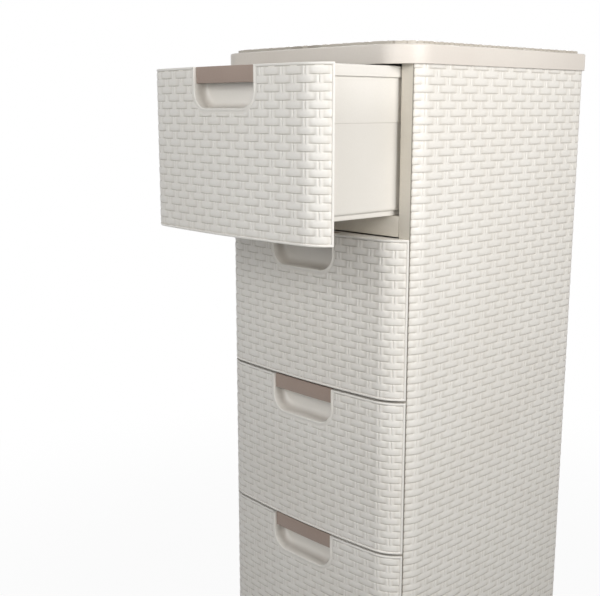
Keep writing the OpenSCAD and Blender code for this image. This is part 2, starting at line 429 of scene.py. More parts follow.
@dataclass(frozen=True)
class Plan:
    """Plan of the skin: a bowed front, round corners and straight sides."""

    half: float
    front_y: float
    back_y: float
    bow_r: float = 1465 * MM
    corner_r: float = 46 * MM
    rear_r: float = 8 * MM
    outline_steps: tuple[int, int, int, int] = (48, 20, 6, 10)  # bow, corner, side, rear corner

    @property
    def corner_x(self) -> float:
        """Where the front corners are centred across the tower."""
        return self.half - self.corner_r

    @property
    def bow_y(self) -> float:
        """Where the bow is centred."""
        return self.front_y + self.bow_r

    @property
    def corner_y(self) -> float:
        """Where the front corners are centred from front to back."""
        return self.bow_y - math.sqrt((self.bow_r - self.corner_r) ** 2 - self.corner_x**2)

    @property
    def rear_x(self) -> float:
        """Where the rear corners are centred across the tower."""
        return self.half - self.rear_r

    @property
    def rear_y(self) -> float:
        """Where the rear corners are centred from front to back."""
        return self.back_y - self.rear_r

    @property
    def bow_turn(self) -> float:
        """Half the angle that the bow spans."""
        return math.asin(self.corner_x / (self.bow_r - self.corner_r))

    @property
    def bow_end(self) -> float:
        """Distance along the plan at which the bow meets a corner."""
        return self.bow_r * self.bow_turn

    @property
    def corner_end(self) -> float:
        """Distance along the plan at which a corner meets the flat side."""
        return self.bow_end + self.corner_r * (math.pi / 2 - self.bow_turn)

    @property
    def flat_end(self) -> float:
        """Distance along the plan at which the flat side meets the rear corner."""
        return self.corner_end + self.back_y - self.rear_r - self.corner_y

    @property
    def rear_end(self) -> float:
        """Distance along the plan at which the rear corner meets the back."""
        return self.flat_end + self.rear_r * math.pi / 2

    def turn(self, s: np.ndarray) -> np.ndarray:
        """Angle that the skin has turned from facing the front.

        Args:
            s: distances along the plan from the crown, none negative.

        Returns:
            The angles.
        """
        bow = np.minimum(s, self.bow_end) / self.bow_r
        corner = np.clip(s - self.bow_end, 0, self.corner_end - self.bow_end) / self.corner_r
        rear = np.clip(s - self.flat_end, 0, self.rear_end - self.flat_end) / self.rear_r
        return bow + corner + rear

    def locate(self, s: np.ndarray, depth: np.ndarray) -> tuple[np.ndarray, np.ndarray]:
        """Places points of the skin.

        Args:
            s: distances along the plan from the crown, negative on the left.
            depth: distances below the outer face.

        Returns:
            The points' x and y.
        """
        side = np.where(s < 0, -1.0, 1.0)
        s = np.abs(s)
        turn = self.turn(s)
        out_x, out_y = np.sin(turn), -np.cos(turn)
        ends = (self.bow_end, self.corner_end, self.flat_end, self.rear_end)
        stretches = [s <= end for end in ends]
        x = np.select(
            stretches,
            [
                self.bow_r * out_x,
                self.corner_x + self.corner_r * out_x,
                np.full_like(s, self.half),
                self.rear_x + self.rear_r * out_x,
            ],
            self.rear_x - (s - self.rear_end),
        )
        y = np.select(
            stretches,
            [
                self.bow_y + self.bow_r * out_y,
                self.corner_y + self.corner_r * out_y,
                self.corner_y + s - self.corner_end,
                self.rear_y + self.rear_r * out_y,
            ],
            np.full_like(s, self.back_y),
        )
        return side * (x - depth * out_x), y - depth * out_y

    def s_at(self, y: float) -> float:
        """Distance along the plan of the corner's point that lies at y."""
        turn = math.acos((self.corner_y - y) / self.corner_r)
        return self.bow_end + self.corner_r * (turn - self.bow_turn)

    def cut_x(self, y: float, depth: np.ndarray) -> np.ndarray:
        """How far out a corner's skin lies at y, for points at some depths."""
        return self.corner_x + np.sqrt((self.corner_r - depth) ** 2 - (self.corner_y - y) ** 2)

    def bow_at(self, x: np.ndarray | float, depth: np.ndarray | float) -> np.ndarray | float:
        """Where the bow's skin lies from front to back, at x and at a depth."""
        return self.bow_y - np.sqrt((self.bow_r - depth) ** 2 - x**2)

    def inward(self, x: float, y: float) -> tuple[float, float]:
        """Direction from a point of the skin towards the inside.

        Args:
            x: the point's place across the tower.
            y: its place from front to back.

        Returns:
            The direction's x and y, one long in all.
        """
        side = math.copysign(1.0, x)
        if y > self.rear_y:
            run = math.hypot(self.rear_x - abs(x), self.rear_y - y)
            return side * (self.rear_x - abs(x)) / run, (self.rear_y - y) / run
        if y > self.corner_y:
            return -side, 0.0
        in_bow = abs(x) / (self.bow_y - y) < math.tan(self.bow_turn)
        centre = (0.0, self.bow_y) if in_bow else (side * self.corner_x, self.corner_y)
        run = math.hypot(centre[0] - x, centre[1] - y)
        return (centre[0] - x) / run, (centre[1] - y) / run

    def depth_of(self, x: float, y: float) -> float:
        """Depth of a point below the nearest stretch of the skin.

        Args:
            x: the point's place across the tower.
            y: its place from front to back.

        Returns:
            The depth, negative outside the skin.
        """
        x = abs(x)
        if x > self.rear_x and y > self.rear_y:
            return self.rear_r - math.hypot(x - self.rear_x, y - self.rear_y)
        if y > self.corner_y:
            return min(self.half - x, self.back_y - y)
        if x / (self.bow_y - y) < math.tan(self.bow_turn):
            return self.bow_r - math.hypot(x, y - self.bow_y)
        return self.corner_r - math.hypot(x - self.corner_x, y - self.corner_y)

    def outline(self, depth: float) -> np.ndarray:
        """The closed outline at one depth, from the back's middle round the front.

        Args:
            depth: how far inside the outer face it runs, negative outside it.

        Returns:
            Points as rows of x and y.
        """
        ends = (0, self.bow_end, self.corner_end, self.flat_end, self.rear_end)
        runs = zip(ends, ends[1:], self.outline_steps)
        parts = [np.linspace(low, high, steps, endpoint=False) for low, high, steps in runs]
        half = np.concatenate([*parts, [self.rear_end]])
        s = np.concatenate([-half[::-1], half[1:]])
        return np.stack(self.locate(s, np.full_like(s, depth)), axis=1)


# ---------------------------------------------------------------- mesh helpers


def new_piece(name: str, mesh: bpy.types.Mesh) -> bpy.types.Object:
    """Links a mesh to the scene.

    Args:
        name: the object's name.
        mesh: its mesh, with its place in it.

    Returns:
        The object, at the origin.
    """
    piece = bpy.data.objects.new(name, mesh)
    bpy.context.scene.collection.objects.link(piece)
    return piece


def coordinates(mesh: bpy.types.Mesh) -> np.ndarray:
    """Reads a mesh's vertices.

    Args:
        mesh: the mesh.

    Returns:
        Rows of x, y and z.
    """
    flat = np.empty(len(mesh.vertices) * 3)
    mesh.vertices.foreach_get("co", flat)
    return flat.reshape(-1, 3)


def move_vertices(mesh: bpy.types.Mesh, points: np.ndarray) -> None:
    """Puts the mesh's vertices at new places."""
    mesh.vertices.foreach_set("co", points.ravel())
    mesh.update()


def smooth(mesh: bpy.types.Mesh, turn: float) -> None:
    """Shades the mesh smooth, and keeps edges that turn more than an angle sharp."""
    mesh.shade_smooth()
    mesh.set_sharp_from_angle(angle=turn)


def finished(name: str, bm: bmesh.types.BMesh) -> bpy.types.Mesh:
    """Turns an edit mesh into a smooth-shaded mesh.

    Args:
        name: the mesh's name.
        bm: the edit mesh, which is freed.

    Returns:
        The mesh, without the normals that a CAD copy brings along.
    """
    mesh = bpy.data.meshes.new(name)
    bm.to_mesh(mesh)
    bm.free()
    stale = mesh.attributes.get("custom_normal")
    if stale:
        mesh.attributes.remove(stale)
    smooth(mesh, SMOOTH_TURN)
    return mesh


def loft(rings: Sequence[Sequence[Sequence[float]]]) -> bmesh.types.BMesh:
    """Joins closed rings of points into one skin, closed at both ends.

    Args:
        rings: points of x, y and z, as many in each ring as in the last.

    Returns:
        The edit mesh, with its faces turned outwards.
    """
    bm = bmesh.new()
    rows = [[bm.verts.new(point) for point in ring] for ring in rings]
    count = len(rows[0])
    for low, high in zip(rows, rows[1:]):
        for a in range(count):
            b = (a + 1) % count
            bm.faces.new((low[a], low[b], high[b], high[a]))
    bm.faces.new(rows[0][::-1])
    bm.faces.new(rows[-1])
    bmesh.ops.recalc_face_normals(bm, faces=bm.faces)
    return bm


def quarter(radius: float, steps: int) -> list[tuple[float, float]]:
    """Points of a quarter round: what is left of the radius across, and how far up."""
    angles = [math.pi / 2 * step / steps for step in range(steps + 1)]
    return [(radius * (1 - math.sin(a)), radius * (1 - math.cos(a))) for a in angles]


def round_off(
    bm: bmesh.types.BMesh,
    edges: Sequence[bmesh.types.BMEdge],
    radius: float,
    segments: int,
    clamped: bool = False,
) -> None:
    """Rounds edges.

    Args:
        bm: the edit mesh.
        edges: the edges to round.
        radius: the radius of the rounds.
        segments: how many faces make up each round.
        clamped: whether rounds are held back where they would run into each other.
    """
    bmesh.ops.bevel(
        bm,
        geom=edges,
        offset=radius,
        segments=segments,
        affect="EDGES",
        profile=0.5,
        clamp_overlap=clamped,
    )


def round_sharp(bm: bmesh.types.BMesh, radius: float) -> None:
    """Rounds every edge that turns sharply.

    Args:
        bm: the edit mesh.
        radius: the radius of the rounds.
    """
    sharp = [
        edge
        for edge in bm.edges
        if len(edge.link_faces) == 2 and edge.calc_face_angle(0) > ROUNDED_TURN
    ]
    round_off(bm, sharp, radius, segments=2, clamped=True)


def rounded_box(name: str, low: Vector, high: Vector, radius: float) -> bpy.types.Mesh:
    """Makes a box with every edge rounded.

    Args:
        name: the mesh's name.
        low: its lowest corner.
        high: its highest corner.
        radius: the radius of its edges.

    Returns:
        The mesh.
    """
    bm = bmesh.new()
    bmesh.ops.create_cube(bm, size=1.0)
    middle = (low + high) / 2
    for vert in bm.verts:
        vert.co = middle + Vector(a * b for a, b in zip(vert.co, high - low))
    round_off(bm, bm.edges[:], radius, segments=3)
    return finished(name, bm)


def merged(name: str, meshes: Sequence[bpy.types.Mesh]) -> bpy.types.Mesh:
    """Joins meshes and keeps their attributes.

    Args:
        name: the name of the parts while they are joined.
        meshes: the meshes, the first of which takes in the others.

    Returns:
        The one mesh.
    """
    parts = [new_piece(name, mesh) for mesh in meshes]
    with bpy.context.temp_override(active_object=parts[0], selected_editable_objects=parts):
        bpy.ops.object.join()
    mesh = parts[0].data
    bpy.data.objects.remove(parts[0])
    return mesh


def cad_copy(node: str) -> bmesh.types.BMesh:
    """Copies a CAD node's mesh, with its doubles merged and its flat faces whole.

    Args:
        node: the node's name.

    Returns:
        The edit mesh.
    """
    bm = bmesh.new()
    bm.from_mesh(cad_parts[node].data)
    bmesh.ops.remove_doubles(bm, verts=bm.verts, dist=0.005 * MM)
    bmesh.ops.dissolve_limit(
        bm, angle_limit=FLAT_TURN, verts=bm.verts, edges=bm.edges, delimit={"NORMAL"}
    )
    return bm


def bend(plan: Plan, flat: np.ndarray, cut_y: float, sense: float) -> np.ndarray:
    """Bends a flat panel round the plan, and squares its end off at a plane across the corner.

    Args:
        plan: the plan to follow.
        flat: the panel's points as rows of s, depth and height.
        cut_y: where the plane lies from front to back.
        sense: 1 where the panel lies in front of the plane, -1 behind it.

    Returns:
        The points as rows of x, y and z.
    """
    s, depth = flat[:, 0], flat[:, 1]
    x, y = plan.locate(s, depth)
    at_end = np.abs(np.abs(s) - plan.s_at(cut_y)) < NOTHING
    past = at_end | (sense * (y - cut_y) > 0)
    x = np.where(past, np.sign(s) * plan.cut_x(cut_y, depth), x)
    y = np.where(past, cut_y, y)
    return np.column_stack([x, y, flat[:, 2]])


def cut(
    bm: bmesh.types.BMesh,
    point: Vector,
    normal: Vector,
    slack: float = 0.0,
    clear_outer: bool = False,
) -> None:
    """Splits the mesh's faces along a plane.

    Args:
        bm: the edit mesh.
        point: a point of the plane.
        normal: the direction that the plane faces.
        slack: vertices nearer the plane than this count as lying in it.
        clear_outer: whether what lies in front of the plane is taken away.
    """
    bmesh.ops.bisect_plane(
        bm,
        geom=bm.verts[:] + bm.edges[:] + bm.faces[:],
        dist=slack,
        plane_co=point,
        plane_no=normal,
        clear_outer=clear_outer,
    )


def open_skin(
    bm: bmesh.types.BMesh,
    woven: Callable[[bmesh.types.BMFace], bool],
    plan: Plan,
    cut_y: float,
    skirt: float,
) -> None:
    """Takes the woven faces off a moulding and sinks all that is left of its outer face.

    Args:
        bm: the moulding's mesh.
        woven: says whether a face goes.
        plan: the plan that the outer faces follow.
        cut_y: the plane across the corner at which the weave ends.
        skirt: how far what is left is sunk.
    """
    bmesh.ops.delete(bm, geom=[face for face in bm.faces if woven(face)], context="FACES")
    for vert in bm.verts:
        if plan.depth_of(vert.co.x, vert.co.y) >= ON_SKIN:
            continue
        if abs(vert.co.y - cut_y) < ON_PLANE:
            vert.co.x = math.copysign(1.0, vert.co.x) * float(plan.cut_x(cut_y, np.array(skirt)))
        else:
            inward = plan.inward(vert.co.x, vert.co.y)
            vert.co.x += inward[0] * skirt
            vert.co.y += inward[1] * skirt


def draped(name: str, rows: Sequence[np.ndarray], shades: Sequence[float]) -> bpy.types.Mesh:
    """Joins open rows of points into one skin that faces the front, and fills the last row.

    Args:
        name: the mesh's name.
        rows: arrays of x, y and z, each with as many points as the last.
        shades: the painted shade of each row, as how deep in a hollow it counts as lying, from 0
            to 1.

    Returns:
        The mesh.
    """
    bm = bmesh.new()
    relief = bm.verts.layers.float.new(Mark.RELIEF.value)
    verts = [[bm.verts.new(point) for point in row] for row in rows]
    for row, shade in zip(verts, shades):
        for vert in row:
            vert[relief] = shade
    for low, high in zip(verts, verts[1:]):
        for a in range(len(low) - 1):
            bm.faces.new((low[a], low[a + 1], high[a + 1], high[a]))
    bm.faces.new(verts[-1])
    bmesh.ops.remove_doubles(bm, verts=bm.verts, dist=0.002 * MM)
    bmesh.ops.recalc_face_normals(bm, faces=bm.faces)
    bm.normal_update()
    if sum(face.normal.y * face.calc_area() for face in bm.faces) > 0:
        bmesh.ops.reverse_faces(bm, faces=bm.faces)
    return finished(name, bm)


def hand_over(
    mesh: bpy.types.Mesh, node: str, kind: str, body: str, slot: Slot
) -> bpy.types.Object:
    """Puts a finished mesh in a CAD node's place.

    Args:
        mesh: the finished mesh.
        node: the node that it stands for.
        kind: what the piece is, which ends its name.
        body: the body that it moves with.
        slot: the material slot of its finish; not used.

    Returns:
        The piece.
    """
    piece = new_piece(f"{node}_{kind}", mesh)
    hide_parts(node)
    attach(piece, body)
    log.info("%s: %d faces on %s", piece.name, len(piece.data.polygons), body)
    return piece


# ---------------------------------------------------------------- woven relief


@dataclass(frozen=True)
class Weave:
    """One row and one column of the weave: flat strands that dip under pairs of thin ribs."""

    row_h: float = 9.5 * MM
    strand_low: float = 0.12 * MM  # depth of a strand's crest
    strand_dip: float = 1.9 * MM  # how far a strand goes down under a pair
    dip_power: int = 4  # how close to the pair it goes down
    strand_crown: float = 0.55 * MM  # how far its edges fall away
    strand_bulge: float = 0.22 * MM  # how far its edges spread between two pairs
    groove: float = 1.1 * MM  # depth between two strands
    groove_w: float = 0.5 * MM  # width of the groove above the line where two rows meet
    groove_fade: float = 1.4 * MM  # width of the softer slope below that line
    rib_round: float = 0.85 * MM  # how far a rib's edges fall away
    rib_tuck: float = 2.2 * MM  # how far a rib goes down under a strand
    rib_at: float = 2.35 * MM  # from the middle of the pair to the middle of a rib
    rib_half: float = 2.2 * MM
    rib_reach: float = 1.08  # where a rib ends, in halves of its width
    pair_shade: float = 0.35  # how dark the painted shade on the line between the two ribs is
    shut_from: tuple[float, float] = (1.5, 2.4)  # where ribs fill a groove, in half widths
    rim_groove: float = 1.1 * MM  # depth of the groove inside a plain rim
    field_slope: float = 0.7 * MM  # width over which the field rises from that groove
    rim_slope: float = 0.6 * MM  # width over which the rim does
    notch_slope: tuple[float, float] = (-0.2 * MM, 0.5 * MM)  # and beside the notch's border
    notch_tuck: float = 0.15 * MM  # how far the rim sinks under the notch's border
    tuck_from: float = 1.2 * MM  # how far inside the border's edge that starts
    cut_share: float = 0.45  # share of the border's width at which the skin is cut away
    seam_shade_w: float = 1.2 * MM  # width of the painted shade at a seam
    seam_shade_mark: float = 1.45  # how strongly that painted shade is marked, past 1 for the foot of a hollow
    edge_r: float = 0.8 * MM
    skirt: float = 1.6 * MM  # how far the skin's outermost line is turned in
    weld: float = 0.004 * MM
    crowding: tuple[float, float] = (0.65, 0.8)  # across and up


@dataclass(frozen=True)
class Panel:
    """A rectangle of weave in s and z, with the plain rims round it and a notch in it."""

    name: str
    ends: tuple[float, float]
    levels: tuple[float, float]
    column_w: float
    column_at: float
    row_at: float
    column_lines: int
    row_lines: int
    rims: tuple[float, float] = (0.0, 0.0)
    borders: tuple[float, float] = (0.0, 0.0)
    rim_lines: tuple[int, int] = (0, 0)
    border_lines: tuple[int, int] = (0, 0)
    notch: tuple[float, float, float, float] = (0.0, -1.0, 0.0, 0.0)


class WovenRelief:
    """Geometry Nodes tree that lays a woven relief on a flat panel.

    The panel's x is s and its z is height, and its y is the depth below the outer face.
    """

    SIZES = (
        *("Column Width", "Row Height", "Column Origin", "Row Origin"),
        *("Low End", "High End", "Bottom End", "Top End"),
        *("Low Rim", "High Rim", "Bottom Rim", "Top Rim"),
        *("Notch Half", "Notch Height", "Notch Radius", "Notch Border"),
    )
    COUNTS = (
        *("Columns", "Rows", "First Column", "First Row", "Column Lines", "Row Lines"),
        *("Low Lines", "High Lines", "Bottom Lines", "Top Lines"),
    )

    def __init__(self, weave: Weave) -> None:
        """Builds the tree.

        Args:
            weave: the sizes of one row and column.
        """
        self.weave = weave
        self.tree = bpy.data.node_groups.new("woven_relief", "GeometryNodeTree")
        self.graph = Graph(self.tree)
        kinds = {name: "NodeSocketFloat" for name in self.SIZES}
        kinds |= {name: "NodeSocketInt" for name in self.COUNTS}
        kinds["Finish"] = "NodeSocketMaterial"
        for name, kind in kinds.items():
            self.tree.interface.new_socket(name, in_out="INPUT", socket_type=kind)
        self.tree.interface.new_socket("Mesh", in_out="OUTPUT", socket_type="NodeSocketGeometry")
        self.inputs = self.graph.node("NodeGroupInput")
        self.build()

    def value(self, name: str) -> Term:
        """One of the tree's inputs."""
        return Term(self.graph, self.inputs.outputs[name])

    def grid(self) -> tuple[Term, list[Term], Term]:
        """Makes a grid with a line for every step of the relief.

        Returns:
            The grid, the numbers of a point's lines across and up, and 1 on its outer lines.
        """
        # the 2 is for one more line at each side, which turns the skin's edge in
        counts = [
            self.value(cells) * self.value(lines) + self.value(before) + self.value(after) + 2.0
            for cells, lines, before, after in (
                ("Columns", "Column Lines", "Low Lines", "High Lines"),
                ("Rows", "Row Lines", "Bottom Lines", "Top Lines"),
            )
        ]
        sizes = {}
        for axis, count in zip("XY", counts):
            sizes |= {f"Size {axis}": count, f"Vertices {axis}": count + 1.0}
        mesh = self.graph.term("GeometryNodeMeshGrid", None, sizes)
        place = self.graph.term("GeometryNodeInputPosition")
        split = self.graph.node("ShaderNodeSeparateXYZ", None, {0: place})
        numbers = [
            (Term(self.graph, place) + count * 0.5).rounded()
            for place, count in zip(split.outputs, counts)
        ]
        last = [
            (number < 0.5).most((count - 0.5) < number) for number, count in zip(numbers, counts)
        ]
        return mesh, numbers, last[0].most(last[1])

    def line(
        self, index: Term, low: str, high: str, cells: str, lines: str, crowding: float
    ) -> tuple[Term, Term, Term]:
        """Splits a grid line's number into its place in the field and in the rims.

        Args:
            index: the number of the grid line, from 0.
            low: the input that counts the lines of the rim before the field.
            high: the input that counts the lines of the rim after it.
            cells: the input that counts the cells of the field.
            lines: the input that counts the lines of one cell.
            crowding: how far the lines crowd towards the ends of a cell, from 0 to 1.

        Returns:
            The place in the field in cells, and the shares of the two rims from 0 to 1.
        """
        per_cell, before, after = self.value(lines), self.value(low), self.value(high)
        field_lines = self.value(cells) * per_cell
        inside = (index - 1.0 - before).within(0.0, field_lines) / per_cell
        whole = (inside + CELL_SLACK).floor()
        part = inside - whole
        cell = whole + part - (part * math.tau).sin() * (crowding / math.tau)
        ahead = (before + 1.0 - index).within(0.0, before) / before.most(1.0)
        behind = (index - 1.0 - before - field_lines).within(0.0, after) / after.most(1.0)
        spread = [0.5 - (share * math.pi).cos() * 0.5 for share in (ahead, behind)]
        return cell, spread[0], spread[1]

    def build(self) -> None:
        """Lays out the grid, its relief and its marks."""
        g, w, value = self.graph, self.weave, self.value
        grid, (index_x, index_z), last = self.grid()
        across_lines = ("Low Lines", "High Lines", "Columns", "Column Lines")
        up_lines = ("Bottom Lines", "Top Lines", "Rows", "Row Lines")
        cell_x, low, high = self.line(index_x, *across_lines, w.crowding[0])
        cell_z, bottom, top = self.line(index_z, *up_lines, w.crowding[1])

        s_free = (cell_x + value("First Column")) * value("Column Width") + value("Column Origin")
        z_free = (cell_z + value("First Row")) * value("Row Height") + value("Row Origin")
        s_field = s_free.within(value("Low End"), value("High End"))
        z_field = z_free.within(value("Bottom End"), value("Top End"))
        across = (s_field - value("Column Origin")) / value("Column Width")
        up = (z_field - value("Row Origin")) / value("Row Height")
        out_s = low * value("Low Rim") + high * value("High Rim")
        out_z = bottom * value("Bottom Rim") + top * value("Top Rim")
        s = s_field - low * value("Low Rim") + high * value("High Rim")
        row = (up + CELL_SLACK).floor()
        taper_z = (z_field - value("Bottom End")).least(value("Top End") - z_field)
        taper_s = (s_field - value("Low End")).least(value("High End") - s_field)
        taper = taper_z.least(taper_s).ramp(0.0, value("Row Height"))
        swing = ((across + row) * math.pi).cos() * (1.0 - (up - row) * 2.0) * w.strand_bulge
        z = z_field + swing * taper - bottom * value("Bottom Rim") + top * value("Top Rim")

        depth, gap = self.weave_depth(across, up)
        outside = (out_s * out_s + out_z * out_z).root()
        inner = self.rim_distance(s_field, z_field)
        depth = depth + (w.rim_groove - depth) * (1.0 - inner.ramp(0.0, w.field_slope))
        in_rim = 1.0 - (outside < NOTHING)
        rim_depth = w.rim_groove * (1.0 - outside.ramp(0.0, w.rim_slope))
        depth = depth + (rim_depth - depth) * in_rim

        notch = self.notch_distance(s, z)
        border = value("Notch Border")
        sunk = w.rim_groove * (1.0 - (notch - border).ramp(*w.notch_slope)) * (1.0 - in_rim)
        tucked = ((notch - border) < -w.tuck_from) * w.notch_tuck * in_rim
        depth = self.edge_depth(s, z, depth.most(sunk).most(tucked))
        depth = depth + (w.skirt - depth) * last

        flat = g.term("ShaderNodeCombineXYZ", None, {0: s, 1: depth, 2: z})
        # painted shade: a dark line at a seam, and by depth in the hollows; painted shadow in the
        # grooves
        seam_shade_mask = 1.0 - (s - value("Low End")).ramp(0.0, w.seam_shade_w)
        seam_shade_mask = seam_shade_mask * (value("Low Rim") < NOTHING)
        relief = (depth / w.rim_groove).most(seam_shade_mask * w.seam_shade_mark)
        mesh = self.store(grid, Mark.PANEL, flat, "FLOAT_VECTOR")
        mesh = self.store(mesh, Mark.RELIEF, relief, "FLOAT")
        mesh = self.store(mesh, Mark.GAP, gap * (1.0 - in_rim) * (border < notch), "FLOAT")
        dropped = {"Geometry": mesh, "Selection": notch < border * w.cut_share}
        mesh = g.term("GeometryNodeDeleteGeometry", {"domain": "POINT"}, dropped)
        for kind, inputs in (
            ("GeometryNodeSetPosition", {"Position": flat}),
            ("GeometryNodeMergeByDistance", {"Distance": w.weld}),
            ("GeometryNodeRealizeInstances", {}),
            ("GeometryNodeSetMaterial", {"Material": value("Finish")}),
        ):
            mesh = g.term(kind, None, {"Geometry": mesh, **inputs})
        g.node("NodeGroupOutput", None, {0: mesh})

    def weave_depth(self, across: Term, up: Term) -> tuple[Term, Term]:
        """Depth of the weave, and the painted shadow in the grooves between its strands.

        Args:
            across: place across the panel in columns, whole where a pair of ribs stands.
            up: place up the panel in rows, whole where two rows meet.

        Returns:
            The depth below the crests in metres, and the painted shadow: 1 in a groove, 0 out of
            it, and a fainter line between two ribs.
        """
        w = self.weave
        row = (up + CELL_SLACK).floor()
        part = up - row
        off_middle = (part - 0.5).abs() * 2.0
        under = 0.5 + ((across + row) * math.pi).cos() * 0.5
        strand = w.strand_low + w.strand_dip * under**w.dip_power
        strand = strand + w.strand_crown * off_middle * off_middle
        column = across.rounded()
        buried = ((column + row) * math.pi).cos() < 0.0
        beside = (across - column).abs() * self.value("Column Width")
        bulge = (beside - w.rib_at) / w.rib_half
        beyond = 1.0 - (beside < w.rib_at + w.rib_half * w.rib_reach)
        rib = w.rib_round * bulge * bulge + buried * (1.0 - off_middle) * w.rib_tuck + beyond
        body = strand.least(rib)
        row_h = self.value("Row Height")
        above = (part * row_h).ramp(0.0, w.groove_w)
        open_share = above.least((row_h - part * row_h).ramp(0.0, w.groove_fade))
        over = part > 0.5
        rib_above = over * buried + (1.0 - over) * (1.0 - buried)
        shut = rib_above * (1.0 - beside.ramp(*(w.rib_half * reach for reach in w.shut_from)))
        gap = (1.0 - open_share) * (1.0 - shut)
        # painted shade on the line between the two ribs of a pair
        between = w.pair_shade * (1.0 - beside.ramp(0.0, w.rib_at * 0.5)) * (1.0 - buried)
        return body + (w.groove - body) * gap, (gap * gap).most(between)

    def edge_depth(self, s: Term, z: Term, depth: Term) -> Term:
        """Rounds the panel's outer edges.

        Args:
            s: place along the panel.
            z: height.
            depth: depth of the relief.

        Returns:
            The depth, at least that of a round edge.
        """
        value, radius = self.value, self.weave.edge_r
        edge_s = (s - value("Low End") + value("Low Rim")).least(
            value("High End") + value("High Rim") - s
        )
        edge_z = (z - value("Bottom End") + value("Bottom Rim")).least(
            value("Top End") + value("Top Rim") - z
        )
        left = radius - edge_s.least(edge_z).within(0.0, radius)
        return depth.most(radius - (radius**2 - left * left).root())

    def rim_distance(self, s: Term, z: Term) -> Term:
        """Distance from a point of the field to the nearest plain rim.

        Args:
            s: the point's place along the panel.
            z: its height.

        Returns:
            The distance, a metre more for a side that has no rim.
        """
        sides = (
            (s - self.value("Low End"), "Low Rim"),
            (self.value("High End") - s, "High Rim"),
            (z - self.value("Bottom End"), "Bottom Rim"),
            (self.value("Top End") - z, "Top Rim"),
        )
        reach = [distance + (self.value(rim) < NOTHING) for distance, rim in sides]
        return reach[0].least(reach[1]).least(reach[2].least(reach[3]))

    def notch_distance(self, s: Term, z: Term) -> Term:
        """Distance from the notch's outline.

        Args:
            s: the point's place along the panel.
            z: its height.

        Returns:
            The distance, negative inside the notch.
        """
        radius = self.value("Notch Radius")
        top = self.value("Top End") + self.value("Top Rim")
        over_s = s.abs() - self.value("Notch Half") + radius
        over_z = top - z - self.value("Notch Height") + radius
        out_s, out_z = over_s.most(0.0), over_z.most(0.0)
        return (out_s * out_s + out_z * out_z).root() + over_s.most(over_z).least(0.0) - radius

    def store(self, mesh: Term, mark: Mark, value: Term, kind: str) -> Term:
        """Keeps a value on the mesh's vertices under a mark.

        Args:
            mesh: the mesh so far.
            mark: the mark that the finish reads.
            value: the value at each vertex.
            kind: the attribute's type.

        Returns:
            The mesh with its mark.
        """
        inputs = {"Geometry": mesh, "Name": mark.value, "Value": value}
        settings = {"data_type": kind, "domain": "POINT"}
        return self.graph.term("GeometryNodeStoreNamedAttribute", settings, inputs)

    def mesh(self, panel: Panel, finish: bpy.types.Material) -> bpy.types.Mesh:
        """Makes one flat panel.

        Args:
            panel: its sizes.
            finish: its material.

        Returns:
            The mesh, with s as x, depth as y and height as z.
        """
        columns = [(end - panel.column_at) / panel.column_w for end in panel.ends]
        rows = [(end - panel.row_at) / self.weave.row_h for end in panel.levels]
        first = [math.floor(cells[0] + NOTHING) for cells in (columns, rows)]
        after = [math.ceil(cells[1] - NOTHING) for cells in (columns, rows)]
        sizes = (
            *(panel.column_w, self.weave.row_h, panel.column_at, panel.row_at),
            *(*panel.ends, *panel.levels, *panel.rims, *panel.borders, *panel.notch),
        )
        counts = (
            *(after[0] - first[0], after[1] - first[1], *first),
            *(panel.column_lines, panel.row_lines, *panel.rim_lines, *panel.border_lines),
        )
        values = dict(zip(self.SIZES + self.COUNTS, sizes + counts), Finish=finish)
        carrier = new_piece(panel.name, bpy.data.meshes.new(panel.name))
        modifier = carrier.modifiers.new("weave", "NODES")
        modifier.node_group = self.tree
        for item in self.tree.interface.items_tree:
            if item.in_out == "INPUT":
                modifier[item.identifier] = values[item.name]
        evaluated = carrier.evaluated_get(bpy.context.evaluated_depsgraph_get())
        mesh = bpy.data.meshes.new_from_object(evaluated)
        carrier.modifiers.remove(modifier)
        bpy.data.objects.remove(carrier)
        return mesh


# ------------------------------------------------------------------ carcass


